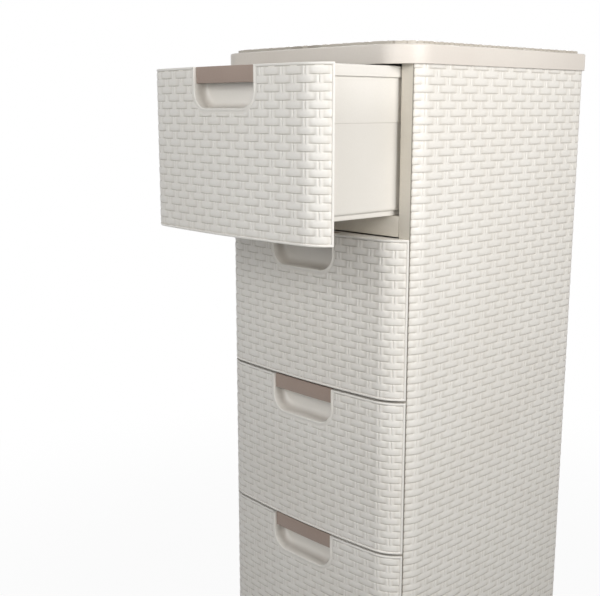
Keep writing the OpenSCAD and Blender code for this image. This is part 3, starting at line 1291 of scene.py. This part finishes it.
@dataclass
class SideShell:
    """Tall side moulding: weave from the seam to the back, a smooth strip and a smooth rear."""

    plan: Plan
    relief: WovenRelief
    finishes: Finishes
    side: int
    column_w: float = 20.3 * MM
    column_at: float = 212.8 * MM
    row_at: float = 24.75 * MM
    rear_turn: float = math.radians(48)
    plain_gap: float = 0.35 * MM
    plain_w: float = 0.01 * MM
    tuck: float = 4.0 * MM
    strip_round: float = 0.9 * MM
    return_d: float = 12.0 * MM
    spread: float = 8.0 * MM
    spread_lean: float = 1.3

    @property
    def node(self) -> str:
        """The CAD node that the shell stands for."""
        return "right_side" if self.side > 0 else "left_side"

    @property
    def plain_from(self) -> float:
        """Distance along the plan, part of the way round the rear corner, where the weave ends."""
        return self.plan.flat_end + self.plan.rear_r * self.rear_turn

    @property
    def levels(self) -> tuple[float, float]:
        """Heights between which the weave runs, tucked behind the cap and the base."""
        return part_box("base")[1].z - self.tuck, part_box("top_cap")[0].z + self.tuck

    def build(self) -> bpy.types.Object:
        """Makes the shell.

        Returns:
            The finished piece.
        """
        mesh = merged(self.node, [self.skin(), self.shell()])
        return hand_over(mesh, self.node, "shell", "carcass", Slot.WOVEN_CREAM)

    def skin(self) -> bpy.types.Mesh:
        """Makes the woven skin, bent round the front corner.

        Returns:
            The skin, on the shell's own side.
        """
        seam_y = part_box(self.node)[0].y
        seam_s = self.plan.s_at(seam_y)
        panel = Panel(
            name=f"{self.node}_weave",
            ends=(seam_s, self.plain_from - self.plain_gap),
            levels=self.levels,
            column_w=self.column_w,
            column_at=self.column_at,
            row_at=self.row_at,
            column_lines=10,
            row_lines=6,
            rims=(0.0, self.plain_w),
            rim_lines=(0, 1),
        )
        mesh = self.relief.mesh(panel, self.finishes[Slot.WOVEN_CREAM])
        flat = coordinates(mesh)
        share = (flat[:, 0] - seam_s) / (panel.ends[1] - seam_s)
        ease = np.sin(math.pi * np.clip(share, 0, 1) ** self.spread_lean)
        flat[:, 0] += self.spread * ease
        points = bend(self.plan, flat, seam_y, -1.0)
        points[:, 0] *= self.side
        move_vertices(mesh, points)
        if self.side < 0:
            mesh.flip_normals()
        smooth(mesh, WOVEN_TURN)
        return mesh

    def shell(self) -> bpy.types.Mesh:
        """Makes the moulding under the skin, with its strip, its rear return and its inside.

        Returns:
            The moulding, open where the skin lies.
        """
        bm = cad_copy(self.node)
        low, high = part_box(self.node)
        rear_y = self.plan.rear_y + self.plan.rear_r * math.sin(self.rear_turn)
        opening_x = min(abs(low.x), abs(high.x))
        strip_edges = [
            edge
            for edge in bm.edges
            if all(abs(vert.co.y - low.y) < SAME_PLACE for vert in edge.verts)
            and all(abs(abs(vert.co.x) - opening_x) < SAME_PLACE for vert in edge.verts)
        ]
        round_off(bm, strip_edges, self.strip_round, segments=4)
        bottom, top = self.levels
        for level_z in (bottom, top):
            cut(bm, Vector((0, 0, level_z)), Vector((0, 0, 1)), slack=NOTHING)
        cut(bm, Vector((0, rear_y, 0)), Vector((0, 1, 0)), slack=NOTHING)

        def woven(face: bmesh.types.BMFace) -> bool:
            """Whether the weave covers a face."""
            middle = face.calc_center_median()
            return (
                bottom < middle.z < top
                and middle.y < rear_y
                and all(self.plan.depth_of(v.co.x, v.co.y) < ON_SKIN for v in face.verts)
            )

        open_skin(bm, woven, self.plan, low.y, self.relief.weave.skirt)
        for face in bm.faces:
            # the front strip takes the darker frame copy of the cream, which paints its shade
            face.material_index = int(face.calc_center_median().y < low.y + self.return_d)
        mesh = finished(f"{self.node}_core", bm)
        mesh.materials.append(self.finishes[Slot.SMOOTH_CREAM])
        mesh.materials.append(self.finishes[Slot.SMOOTH_FRAME])
        return mesh


@dataclass
class TopCap:
    """Smooth slab on top, with a deep edge band and rounded edges."""

    plan: Plan
    finishes: Finishes
    fit: float = 0.4 * MM
    plate: float = 2.6 * MM
    top_r: float = 2.4 * MM
    bottom_r: float = 0.8 * MM
    top_steps: int = 8
    bottom_steps: int = 4
    node: str = "top_cap"

    def band(self, low: float, high: float, over: float) -> list[tuple[float, float]]:
        """Follows the edge band from its lower round to its upper one.

        Args:
            low: height of its lower edge.
            high: height of its upper edge.
            over: how far it stands out from the skin.

        Returns:
            Depth and height of each ring.
        """
        below = quarter(self.bottom_r, self.bottom_steps)
        above = reversed(quarter(self.top_r, self.top_steps))
        rings = [(-over + across, low + up) for across, up in below]
        return rings + [(-over + across, high - up) for across, up in above]

    def profile(self, low: float, high: float, over: float) -> list[tuple[float, float]]:
        """Depth and height of each ring, from the underside of the plate to its top."""
        inside = [(-self.fit, high - self.plate), (-self.fit, low)]
        return inside + self.band(low, high, over)

    def build(self) -> bpy.types.Object:
        """Makes the slab.

        Returns:
            The finished piece.
        """
        low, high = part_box(self.node)
        rings = []
        for depth, z in self.profile(low.z, high.z, high.x - self.plan.half):
            outline = self.plan.outline(depth)
            rings.append(np.column_stack([outline, np.full(len(outline), z)]))
        mesh = finished(self.node, loft(rings))
        mesh.materials.append(self.finishes[Slot.TAUPE_CAP])
        return hand_over(mesh, self.node, "slab", "carcass", Slot.TAUPE_CAP)


@dataclass
class Base(TopCap):
    """Tray at the foot, with the same edge band turned over."""

    top_r: float = 0.8 * MM
    bottom_r: float = 1.2 * MM
    top_steps: int = 4
    node: str = "base"

    def profile(self, low: float, high: float, over: float) -> list[tuple[float, float]]:
        """Depth and height of each ring, from the tray's underside to its floor."""
        inside = [(-self.fit, high), (-self.fit, low + self.plate)]
        return self.band(low, high, over) + inside


@dataclass
class TopInsert:
    """Raised woven field on the cap, set in from its edge."""

    plan: Plan
    relief: WovenRelief
    finishes: Finishes
    column_w: float = 17.5 * MM
    spare: float = 3.0 * MM
    edge_steps: int = 3
    node: str = "top_insert"

    def build(self) -> bpy.types.Object:
        """Makes the field.

        Returns:
            The finished piece.
        """
        low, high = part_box(self.node)
        panel = Panel(
            name="top_weave",
            ends=(low.x - self.spare, high.x + self.spare),
            levels=(low.y - self.spare, high.y + self.spare),
            column_w=self.column_w,
            column_at=0.0,
            row_at=low.y,
            column_lines=9,
            row_lines=6,
        )
        mesh = self.relief.mesh(panel, self.finishes[Slot.WOVEN_TOP])
        flat = coordinates(mesh)
        move_vertices(mesh, np.column_stack([flat[:, 0], flat[:, 2], high.z - flat[:, 1]]))
        self.trim(mesh, self.plan.half - high.x, low.z)
        return hand_over(mesh, self.node, "weave", "carcass", Slot.WOVEN_TOP)

    def trim(self, mesh: bpy.types.Mesh, inset: float, floor_z: float) -> None:
        """Trims the field to the plan and closes it down to the cap.

        Args:
            mesh: the rectangle of weave.
            inset: how far inside the plan the field's edge runs.
            floor_z: height of the cap's top face.
        """
        bm = bmesh.new()
        bm.from_mesh(mesh)
        outline = self.plan.outline(inset)[:: self.edge_steps]
        for a, b in zip(outline, np.roll(outline, -1, axis=0)):
            run = b - a
            if math.hypot(*run) >= SAME_PLACE:
                outward = Vector((run[1], -run[0], 0)).normalized()
                cut(bm, Vector((a[0], a[1], 0)), outward, clear_outer=True)
        rim = [edge for edge in bm.edges if len(edge.link_faces) == 1]
        skirt = bmesh.ops.extrude_edge_only(bm, edges=rim)["geom"]
        for item in skirt:
            if isinstance(item, bmesh.types.BMVert):
                item.co.z = floor_z
        foot = [item for item in skirt if isinstance(item, bmesh.types.BMEdge)]
        bmesh.ops.holes_fill(bm, edges=foot)
        bmesh.ops.recalc_face_normals(bm, faces=bm.faces)
        bm.to_mesh(mesh)
        bm.free()
        smooth(mesh, FIELD_TURN)


@dataclass
class SmoothPart:
    """A plain moulding that keeps the frame's shape, with its sharp edges rounded."""

    node: str
    slot: Slot
    finishes: Finishes
    edge_r: float = 0.5 * MM

    def build(self) -> bpy.types.Object:
        """Makes the part.

        Returns:
            The finished piece.
        """
        bm = cad_copy(self.node)
        round_sharp(bm, self.edge_r)
        mesh = finished(self.node, bm)
        mesh.materials.append(self.finishes[self.slot])
        return hand_over(mesh, self.node, "moulding", "carcass", self.slot)


# ------------------------------------------------------------------ drawers


@dataclass(frozen=True)
class Notch:
    """Finger notch in a front's top edge: its outline, its raised border and its pocket."""

    half: float = 57.0 * MM
    height: float = 50.0 * MM
    radius: float = 22.0 * MM
    border: float = 6.0 * MM
    pocket_d: float = 21.0 * MM
    foot_r: float = 9.0 * MM
    side_r: float = 6.0 * MM
    bead: tuple[tuple[float, float], ...] = (  # distance from the outline and depth, in mm
        (6.0, 1.6),
        (6.0, 0.9),
        (5.0, 0.9),
        (4.2, 0.88),
        (3.7, 0.72),
        (3.2, 0.4),
        (2.6, 0.12),
        (1.9, 0.0),
        (1.3, 0.04),
        (0.7, 0.3),
        (0.25, 0.8),
        (0.0, 1.6),
    )
    top_drops: tuple[float, ...] = (0.0, 0.0, 0.12, 0.4, 1.0)  # mm down from the top edge
    side_points: int = 6
    corner_points: int = 14
    floor_points: int = 7
    foot_steps: int = 12
    # painted shade in the pocket: most at the foot of its walls, fading towards its back
    foot_shade: float = 0.85
    back_shades: tuple[tuple[float, float], ...] = ((4.0, 0.1), (9.0, 0.0))  # inset in mm, painted shade

    def path(self) -> np.ndarray:
        """Follows the outline from its left end round to its right end.

        Returns:
            Rows of x, z below the front's top edge, and the outward normal's x and z.
        """
        drops = [drop * MM for drop in self.top_drops]
        side = np.linspace(drops[-1], self.height - self.radius, self.side_points)[1:-1]
        left = [(-self.half, -drop, -1.0, 0.0) for drop in (*drops, *side)]
        centre_x, centre_z = self.radius - self.half, self.radius - self.height
        for angle in np.linspace(math.pi, 1.5 * math.pi, self.corner_points):
            out_x, out_z = math.cos(angle), math.sin(angle)
            x, z = centre_x + self.radius * out_x, centre_z + self.radius * out_z
            left.append((x, z, out_x, out_z))
        floor = np.linspace(self.radius - self.half, 0, self.floor_points)[1:]
        left += [(x, -self.height, 0.0, -1.0) for x in floor]
        right = [(-x, z, -out_x, out_z) for x, z, out_x, out_z in left[-2::-1]]
        return np.array(left + right)


@dataclass
class DrawerFront:
    """Front panel: a field of weave in a plain rim, with a finger notch and its pocket."""

    number: int
    plan: Plan
    relief: WovenRelief
    finishes: Finishes
    notch: Notch = field(default_factory=Notch)
    column_w: float = 17.5 * MM
    rim: float = 3.25 * MM
    rim_lines: int = 6

    @property
    def node(self) -> str:
        """The CAD node that the front stands for."""
        return f"drawer_{self.number}_front"

    @property
    def opened(self) -> float:
        """How far forward the drawer stands."""
        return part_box(self.node)[0].y - self.plan.front_y

    @property
    def back_y(self) -> float:
        """Plane of the front's back edge, with the drawer shut."""
        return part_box(self.node)[1].y - self.opened

    @property
    def top_z(self) -> float:
        """Height of the front's top edge."""
        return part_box(self.node)[1].z

    def build(self) -> bpy.types.Object:
        """Makes the front.

        Returns:
            The finished piece.
        """
        mesh = merged(self.node, [self.skin(), self.pocket(), self.core()])
        points = coordinates(mesh)
        points[:, 1] += self.opened
        move_vertices(mesh, points)
        return hand_over(mesh, self.node, "panel", f"drawer_{self.number}", Slot.WOVEN_CREAM)

    def skin(self) -> bpy.types.Mesh:
        """Makes the woven skin, bent to the bow and round both corners.

        Returns:
            The skin of the shut drawer.
        """
        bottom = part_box(self.node)[0].z + self.rim
        edge = self.plan.s_at(self.back_y) - self.rim
        notch = self.notch
        panel = Panel(
            name=f"{self.node}_weave",
            ends=(-edge, edge),
            levels=(bottom, self.top_z - self.rim),
            column_w=self.column_w,
            column_at=0.0,
            row_at=bottom,
            column_lines=12,
            row_lines=8,
            rims=(self.rim, self.rim),
            borders=(self.rim, self.rim),
            rim_lines=(self.rim_lines, self.rim_lines),
            border_lines=(self.rim_lines, self.rim_lines),
            notch=(notch.half, notch.height, notch.radius, notch.border),
        )
        mesh = self.relief.mesh(panel, self.finishes[Slot.WOVEN_CREAM])
        move_vertices(mesh, bend(self.plan, coordinates(mesh), self.back_y, 1.0))
        smooth(mesh, WOVEN_TURN)
        return mesh

    def pocket(self) -> bpy.types.Mesh:
        """Makes the notch's raised border and the finger pocket behind it, in one skin.

        Returns:
            The skin of the shut drawer's border and pocket.
        """
        weave, notch = self.relief.weave, self.notch
        x, z, out_x, out_z = notch.path().T
        top = self.top_z + z
        left = np.clip(weave.edge_r + z, 0.0, weave.edge_r)
        rounding = weave.edge_r - np.sqrt(weave.edge_r**2 - left**2)
        rounding[[0, -1]] = weave.skirt
        # each row carries painted shade: none on the bead, most at the foot of the walls
        rows, shades = [], []
        for offset, depth in notch.bead:
            across = x + out_x * offset * MM
            y = self.plan.bow_at(across, np.maximum(depth * MM, rounding))
            rows.append(np.column_stack([across, y, top + out_z * offset * MM]))
            shades.append(0.0)
        back = np.full_like(x, self.plan.front_y + notch.pocket_d)
        for step in range(notch.foot_steps + 1):
            angle = math.pi / 2 * step / notch.foot_steps
            shrink = 1 - math.cos(angle)
            across = x - out_x * notch.side_r * shrink
            y = back - notch.foot_r * (1 - math.sin(angle))
            rows.append(np.column_stack([across, y, top - out_z * notch.foot_r * shrink]))
            shades.append(notch.foot_shade - shrink)
        for inset, shade in notch.back_shades:
            across = x - out_x * (notch.side_r + inset * MM)
            up = top - out_z * (notch.foot_r + inset * MM)
            rows.append(np.column_stack([across, back, up]))
            shades.append(shade)
        mesh = draped(f"{self.node}_pocket", rows, shades)
        mesh.materials.append(self.finishes[Slot.SMOOTH_CREAM])
        return mesh

    def core(self) -> bpy.types.Mesh:
        """Makes the moulding behind the skin, with its edge walls and the pocket's wall.

        Returns:
            The shut drawer's moulding, open where the skin and the pocket lie.
        """
        bm = cad_copy(self.node)
        for vert in bm.verts:
            vert.co.y -= self.opened
        side = self.notch.half + ON_PLANE
        foot = self.top_z - self.notch.height - ON_PLANE
        back = self.plan.front_y + self.notch.pocket_d + ON_PLANE

        def woven(face: bmesh.types.BMFace) -> bool:
            """Tells whether the skin or the pocket covers a face.

            Args:
                face: a face of the moulding.

            Returns:
                True where the face goes.
            """
            points = [vert.co for vert in face.verts]
            in_pocket = all(abs(p.x) < side and p.z > foot and p.y < back for p in points)
            return in_pocket or all(self.plan.depth_of(p.x, p.y) < ON_PLANE for p in points)

        open_skin(bm, woven, self.plan, self.back_y, self.relief.weave.skirt)
        mesh = finished(f"{self.node}_core", bm)
        mesh.materials.append(self.finishes[Slot.SMOOTH_CREAM])
        return mesh


@dataclass
class DrawerGrip:
    """Grip strip: follows the bow, closes the pocket's top and turns back at its lower edge."""

    number: int
    plan: Plan
    finishes: Finishes
    inset: float = 3.5 * MM
    wall: float = 2.2 * MM
    lip: float = 4.5 * MM
    edge_r: float = 0.55 * MM
    stations: int = 25

    def build(self) -> bpy.types.Object:
        """Makes the strip.

        Returns:
            The finished piece.
        """
        body, node = f"drawer_{self.number}", f"drawer_{self.number}_grip"
        low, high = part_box(node)
        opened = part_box(f"{body}_front")[0].y - self.plan.front_y
        inner, lip = self.inset + self.wall, self.inset + self.lip
        profile = (
            (self.inset, low.z),
            (self.inset, high.z),
            (None, high.z),
            (None, high.z - self.wall),
            (inner, high.z - self.wall),
            (inner, low.z + self.wall),
            (lip, low.z + self.wall),
            (lip, low.z),
        )
        rings = []
        for x in np.linspace(low.x, high.x, self.stations):
            ring = []
            for depth, z in profile:
                y = high.y if depth is None else float(self.plan.bow_at(x, depth)) + opened
                ring.append((x, y, z))
            rings.append(ring)
        bm = loft(rings)
        round_sharp(bm, self.edge_r)
        mesh = finished(node, bm)
        mesh.materials.append(self.finishes[Slot.TAUPE_GRIP])
        return hand_over(mesh, node, "strip", body, Slot.TAUPE_GRIP)


@dataclass
class DrawerTub:
    """Open tub: rounded foot, stacking step, turned-down lip, skids and stop lugs."""

    number: int
    finishes: Finishes
    wall: float = 2.2 * MM
    lip_half: float = 146.5 * MM
    lip_over: float = 3.0 * MM
    lip_h: float = 13.5 * MM
    lip_t: float = 1.4 * MM
    lip_soft: float = 0.35 * MM
    lip_inside: float = 0.3 * MM
    lip_back: float = 0.4 * MM
    step_in: float = 1.2 * MM
    step_down: float = 67.0 * MM
    step_soft: float = 0.25 * MM
    step_levels: tuple[float, float, float, float] = (-0.7 * MM, -0.25 * MM, 0.15 * MM, 0.6 * MM)
    front_r: float = 0.3 * MM
    rear_r: float = 16.0 * MM
    foot_r: float = 4.0 * MM
    inner_r: float = 8.0 * MM
    rim_r: float = 1.5 * MM
    corner_points: int = 9
    curve_steps: int = 6
    rim_steps: int = 5
    skid_w: float = 12.0 * MM
    skid_h: float = 6.0 * MM
    skid_in: float = 4.0 * MM
    skid_r: float = 0.8 * MM
    lug_l: float = 8.0 * MM
    lug_r: float = 0.5 * MM
    low: Vector = field(init=False)
    high: Vector = field(init=False)

    def __post_init__(self) -> None:
        """Reads the node's lowest and highest corner."""
        self.low, self.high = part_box(self.node)

    @property
    def node(self) -> str:
        """The CAD node that the tub stands for."""
        return f"drawer_{self.number}_tub"

    def build(self) -> bpy.types.Object:
        """Makes the tub.

        Returns:
            The finished piece.
        """
        mesh = merged(self.node, [self.bowl(), *self.skids(), *self.lugs()])
        mesh.materials.clear()
        mesh.materials.append(self.finishes[Slot.SMOOTH_CREAM])
        return hand_over(mesh, self.node, "bowl", f"drawer_{self.number}", Slot.SMOOTH_CREAM)

    def ring(
        self, inset: float, z: float, setback: float = 0.0, front_r: float | None = None
    ) -> np.ndarray:
        """Makes one outline of the bowl.

        Args:
            inset: distance inside the lip's outline.
            z: height of the outline.
            setback: distance behind the tub's front face.
            front_r: radius of the front corners, where it isn't the outside's.

        Returns:
            Rows of x, y and z.
        """
        front_r = self.front_r if front_r is None else front_r
        half = self.lip_half - inset
        y0, y1 = self.low.y + setback, self.high.y - inset
        rear_r = self.rear_r + min(self.lip_over + self.step_in - inset, self.lip_over)
        corners = (
            (half - front_r, y0 + front_r, front_r, -90),
            (half - rear_r, y1 - rear_r, rear_r, 0),
            (rear_r - half, y1 - rear_r, rear_r, 90),
            (front_r - half, y0 + front_r, front_r, 180),
        )
        points = []
        for centre_x, centre_y, radius, start in corners:
            for turn in np.radians(np.linspace(start, start + 90, self.corner_points)):
                x, y = centre_x + radius * math.cos(turn), centre_y + radius * math.sin(turn)
                points.append((x, y, z))
        return np.array(points)

    def bowl(self) -> bpy.types.Mesh:
        """Makes the bowl's closed skin, from its underside over the lip to its inner floor.

        Returns:
            The bowl.
        """
        ring = self.ring
        top = self.high.z
        foot = self.low.z + self.skid_h
        step = top - self.step_down
        lower, upper = self.lip_over + self.step_in, self.lip_over
        insets = (lower, lower - self.step_soft, upper + self.step_soft, upper)
        inner = lower + self.wall
        channel = top - self.wall
        lip_foot = top - self.lip_h
        lip_edge, lip_in = lip_foot + self.lip_inside, self.lip_t
        rim = quarter(self.rim_r, self.rim_steps)
        floor = quarter(self.inner_r, self.curve_steps)
        underside = quarter(self.foot_r, self.curve_steps)
        rings = [ring(lower + across, foot + up) for across, up in underside]
        rings += [ring(inset, step + rise) for inset, rise in zip(insets, self.step_levels)]
        rings += [
            ring(upper, lip_foot),
            ring(upper, lip_edge, lip_in),
            ring(upper, channel, lip_in),
            ring(lip_in, channel, lip_in),
            ring(lip_in, lip_edge, lip_in),
            ring(lip_in - self.lip_soft, lip_foot, self.lip_back),
            ring(self.lip_soft, lip_foot),
            ring(0.0, lip_foot + self.lip_soft),
        ]
        for across, up in reversed(rim):
            rings.append(ring(across, top - up))
        for across, up in rim:
            rings.append(ring(inner - across, top - up, self.wall - across, self.inner_r))
        for across, up in reversed(floor):
            z = foot + self.wall + up
            rings.append(ring(inner + across, z, self.wall + across, self.inner_r))
        return finished("bowl", loft(rings))

    def skids(self) -> list[bpy.types.Mesh]:
        """Makes the two skids under the bowl.

        Returns:
            The right and the left skid.
        """
        outer = self.lip_half - self.lip_over - self.step_in - self.skid_in
        back = self.high.y - self.lip_over - self.rear_r
        meshes = []
        for left in (outer - self.skid_w, -outer):
            low = Vector((left, self.low.y, self.low.z))
            high = Vector((left + self.skid_w, back, self.low.z + self.skid_h + self.wall / 2))
            meshes.append(rounded_box("skid", low, high, self.skid_r))
        return meshes

    def lugs(self) -> list[bpy.types.Mesh]:
        """Makes the stop lugs that catch behind the front strips at full travel.

        Returns:
            The right and the left lug.
        """
        inner, outer = self.lip_half - self.lip_t, self.high.x
        lug_y = self.lug_y()
        meshes = []
        for left, right in ((inner, outer), (-outer, -inner)):
            low = Vector((left, lug_y, self.high.z - self.lip_h))
            high = Vector((right, lug_y + self.lug_l, self.high.z))
            meshes.append(rounded_box("lug", low, high, self.lug_r))
        return meshes

    def lug_y(self) -> float:
        """Finds the front of the stop lugs from the node's widest points.

        Returns:
            Its place from front to back.
        """
        points = coordinates(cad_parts[self.node].data)
        widest = points[points[:, 0] > self.high.x - SAME_PLACE]
        return float(widest[:, 1].min())


# ------------------------------------------------------------------- studio


@dataclass(frozen=True)
class SoftBox:
    """A soft square lamp that is aimed at a point."""

    name: str
    place: tuple[float, float, float]
    aim: tuple[float, float, float]
    size: float
    power: float
    colour: tuple[float, float, float] = (1.0, 1.0, 1.0)

    def build(self) -> None:
        """Hangs the lamp."""
        light = bpy.data.lights.new(self.name, "AREA")
        light.shape = "SQUARE"
        light.size = self.size
        light.energy = self.power
        light.color = self.colour
        lamp = bpy.data.objects.new(self.name, light)
        lamp.location = self.place
        lamp.visible_camera = False
        direction = Vector(self.aim) - Vector(self.place)
        lamp.rotation_euler = direction.to_track_quat("-Z", "Y").to_euler()
        bpy.context.scene.collection.objects.link(lamp)


@dataclass
class Studio:
    """Pale floor, white surroundings, soft lamps and the camera."""

    floor_half: float = 8.0
    floor_grey: float = 0.3
    floor_roughness: float = 0.9
    floor_glow: float = 0.95
    glow_from: float = 0.4
    glow_to: float = 1.3
    ambient: float = 0.12
    camera_at: tuple[float, float, float] = (0.9669, -1.0848, 0.8045)
    camera_yaw: float = math.radians(47.352)
    camera_pitch: float = math.radians(11.639)
    lens: float = 59.467
    sensor_w: float = 36.0
    shift_up: float = 0.0235
    lamps: tuple[SoftBox, ...] = (
        SoftBox("key_lamp", (1.11, -0.21, 1.06), (0.1, 0.0, 0.6), 0.6, 9.7, (1.0, 0.988, 0.976)),
        SoftBox("fill_lamp", (-0.1, -1.4, 1.0), (0.0, 0.0, 0.6), 0.9, 2.4, (0.975, 0.99, 1.0)),
        SoftBox("near_lamp", (0.25, -1.3, 1.35), (0.0, -0.2, 0.7), 0.5, 2.2),
        SoftBox("front_lamp", (0.9, -2.2, 1.3), (0.0, 0.0, 0.6), 1.2, 13.0, (0.99, 0.995, 1.0)),
        SoftBox("rear_lamp", (-1.7, 1.9, 1.7), (0.0, 0.0, 0.5), 1.4, 50.0),
    )

    def build(self) -> None:
        """Sets the scene up round the object."""
        self.floor()
        self.world()
        self.camera()
        for lamp in self.lamps:
            lamp.build()
        bpy.context.scene.view_settings.view_transform = "Standard"

    @staticmethod
    def seen(graph: Graph) -> Term:
        """Tells the rays that show the background itself: camera, glossy and transmission.

        Args:
            graph: the graph of the floor's or the world's material.

        Returns:
            1 for such a ray, else 0.
        """
        path = graph.node("ShaderNodeLightPath")
        kinds = ("Is Camera Ray", "Is Glossy Ray", "Is Transmission Ray")
        rays = [Term(graph, path.outputs[kind]) for kind in kinds]
        return rays[0].most(rays[1]).most(rays[2])

    def floor(self) -> None:
        """Lays the floor."""
        bm = bmesh.new()
        bmesh.ops.create_grid(bm, x_segments=1, y_segments=1, size=self.floor_half)
        piece = new_piece("studio_floor", finished("studio_floor", bm))
        material = bpy.data.materials.new("studio_paper")
        material.use_nodes = True
        graph = Graph(material.node_tree)
        paper = graph.tree.nodes["Principled BSDF"]
        paper.inputs["Base Color"].default_value = (*[self.floor_grey] * 3, 1.0)
        paper.inputs["Roughness"].default_value = self.floor_roughness
        glow = graph.term("ShaderNodeEmission", None, {"Color": (1, 1, 1, 1), "Strength": 1.0})
        place = graph.term("ShaderNodeTexCoord", output="Object")
        length = {"operation": "LENGTH"}
        away = graph.term("ShaderNodeVectorMath", length, {0: place}, output="Value")
        fade = away.ramp(self.glow_from, self.glow_to)
        factor = self.seen(graph) * (self.floor_glow + (1.0 - self.floor_glow) * fade)
        shaders = {0: factor, 1: Term(graph, paper.outputs[0]), 2: glow}
        mixed = graph.term("ShaderNodeMixShader", None, shaders)
        graph.feed(graph.tree.nodes["Material Output"].inputs["Surface"], mixed)
        piece.data.materials.append(material)

    def world(self) -> None:
        """Surrounds the scene with even light, and with white where it is seen."""
        world = bpy.data.worlds.new("studio_world")
        bpy.context.scene.world = world
        world.use_nodes = True
        graph = Graph(world.node_tree)
        graph.tree.nodes.clear()
        even, white = (
            graph.term("ShaderNodeBackground", None, {"Color": (*[grey] * 3, 1.0)})
            for grey in (self.ambient, 1.0)
        )
        shaders = {0: self.seen(graph), 1: even, 2: white}
        mixed = graph.term("ShaderNodeMixShader", None, shaders)
        graph.node("ShaderNodeOutputWorld", None, {"Surface": mixed})

    def camera(self) -> None:
        """Places the camera."""
        data = bpy.data.cameras.new("camera")
        data.sensor_fit = "HORIZONTAL"
        data.sensor_width = self.sensor_w
        data.lens = self.lens
        data.shift_y = self.shift_up
        camera = bpy.data.objects.new("camera", data)
        camera.location = self.camera_at
        camera.rotation_euler = (math.pi / 2 - self.camera_pitch, 0.0, self.camera_yaw)
        bpy.context.scene.collection.objects.link(camera)
        bpy.context.scene.camera = camera


# --------------------------------------------------------------------- main


def make_plan() -> Plan:
    """The skin's plan, sized from the frame."""
    shell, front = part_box("right_side"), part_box(f"drawer_{DRAWERS}_front")
    return Plan(half=shell[1].x, front_y=front[0].y, back_y=shell[1].y)


def dress_runners(finishes: Finishes) -> None:
    """Gives the runners, which keep the frame's own meshes, their finish.

    Args:
        finishes: the material of each slot.
    """
    for name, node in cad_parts.items():
        if name.startswith("runner_"):
            for slot in node.material_slots:
                slot.material = finishes[Slot.SMOOTH_FRAME]
            log.info("%s: dressed", name)


def main() -> None:
    logging.basicConfig(level=logging.INFO, format="%(name)s: %(message)s")
    Studio().build()
    finishes = {finish.slot: finish.build() for finish in FINISHES}
    plan = make_plan()
    relief = WovenRelief(Weave())
    for side in (1, -1):
        SideShell(plan, relief, finishes, side).build()
    TopCap(plan, finishes).build()
    Base(plan, finishes).build()
    TopInsert(plan, relief, finishes).build()
    SmoothPart("back_panel", Slot.SMOOTH_CREAM, finishes).build()
    for number in range(1, DRAWERS + 1):
        SmoothPart(f"front_rail_{number}", Slot.SMOOTH_FRAME, finishes).build()
        DrawerFront(number, plan, relief, finishes).build()
        DrawerGrip(number, plan, finishes).build()
        DrawerTub(number, finishes).build()
    dress_runners(finishes)
    bpy.context.view_layer.update()


if __name__ == "__main__":
    main()
